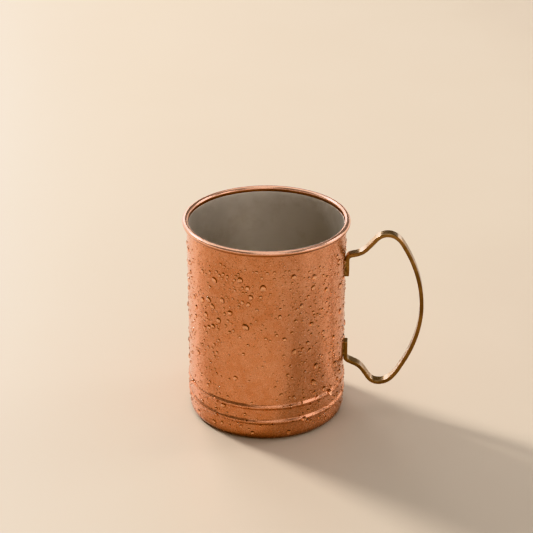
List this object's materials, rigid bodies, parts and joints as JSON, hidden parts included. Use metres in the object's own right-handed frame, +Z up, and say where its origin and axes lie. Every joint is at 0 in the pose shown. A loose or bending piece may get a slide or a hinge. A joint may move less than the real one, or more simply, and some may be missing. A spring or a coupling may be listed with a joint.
{
  "type": "mug",
  "caption": "Straight-walled copper mug with a wired rim, two raised beads near the foot, a bright lining and a bent flat-bar handle with a wide finger gap.",
  "frame": {"origin": "on the cup's axis, at the plane of the flat ring that it stands on", "axes": "+Z up along the cup's axis, out of the mouth; +X from the axis towards the handle; +Y to the left of the handle, across the bar's width"},
  "size_m": [0.1225, 0.0844, 0.1062],
  "materials": {
    "copper": "satin",
    "wire": "drawn",
    "lining": "satin",
    "brass": "aged satin",
    "braze": "dull",
    "water": "clear"
  },
  "bodies": {
    "root": {"body_shell": "copper", "rim_wire": "wire", "nickel_lining": "lining", "handle_strap": "brass", "upper_braze": "braze", "lower_braze": "braze"}
  },
  "joints": []
}
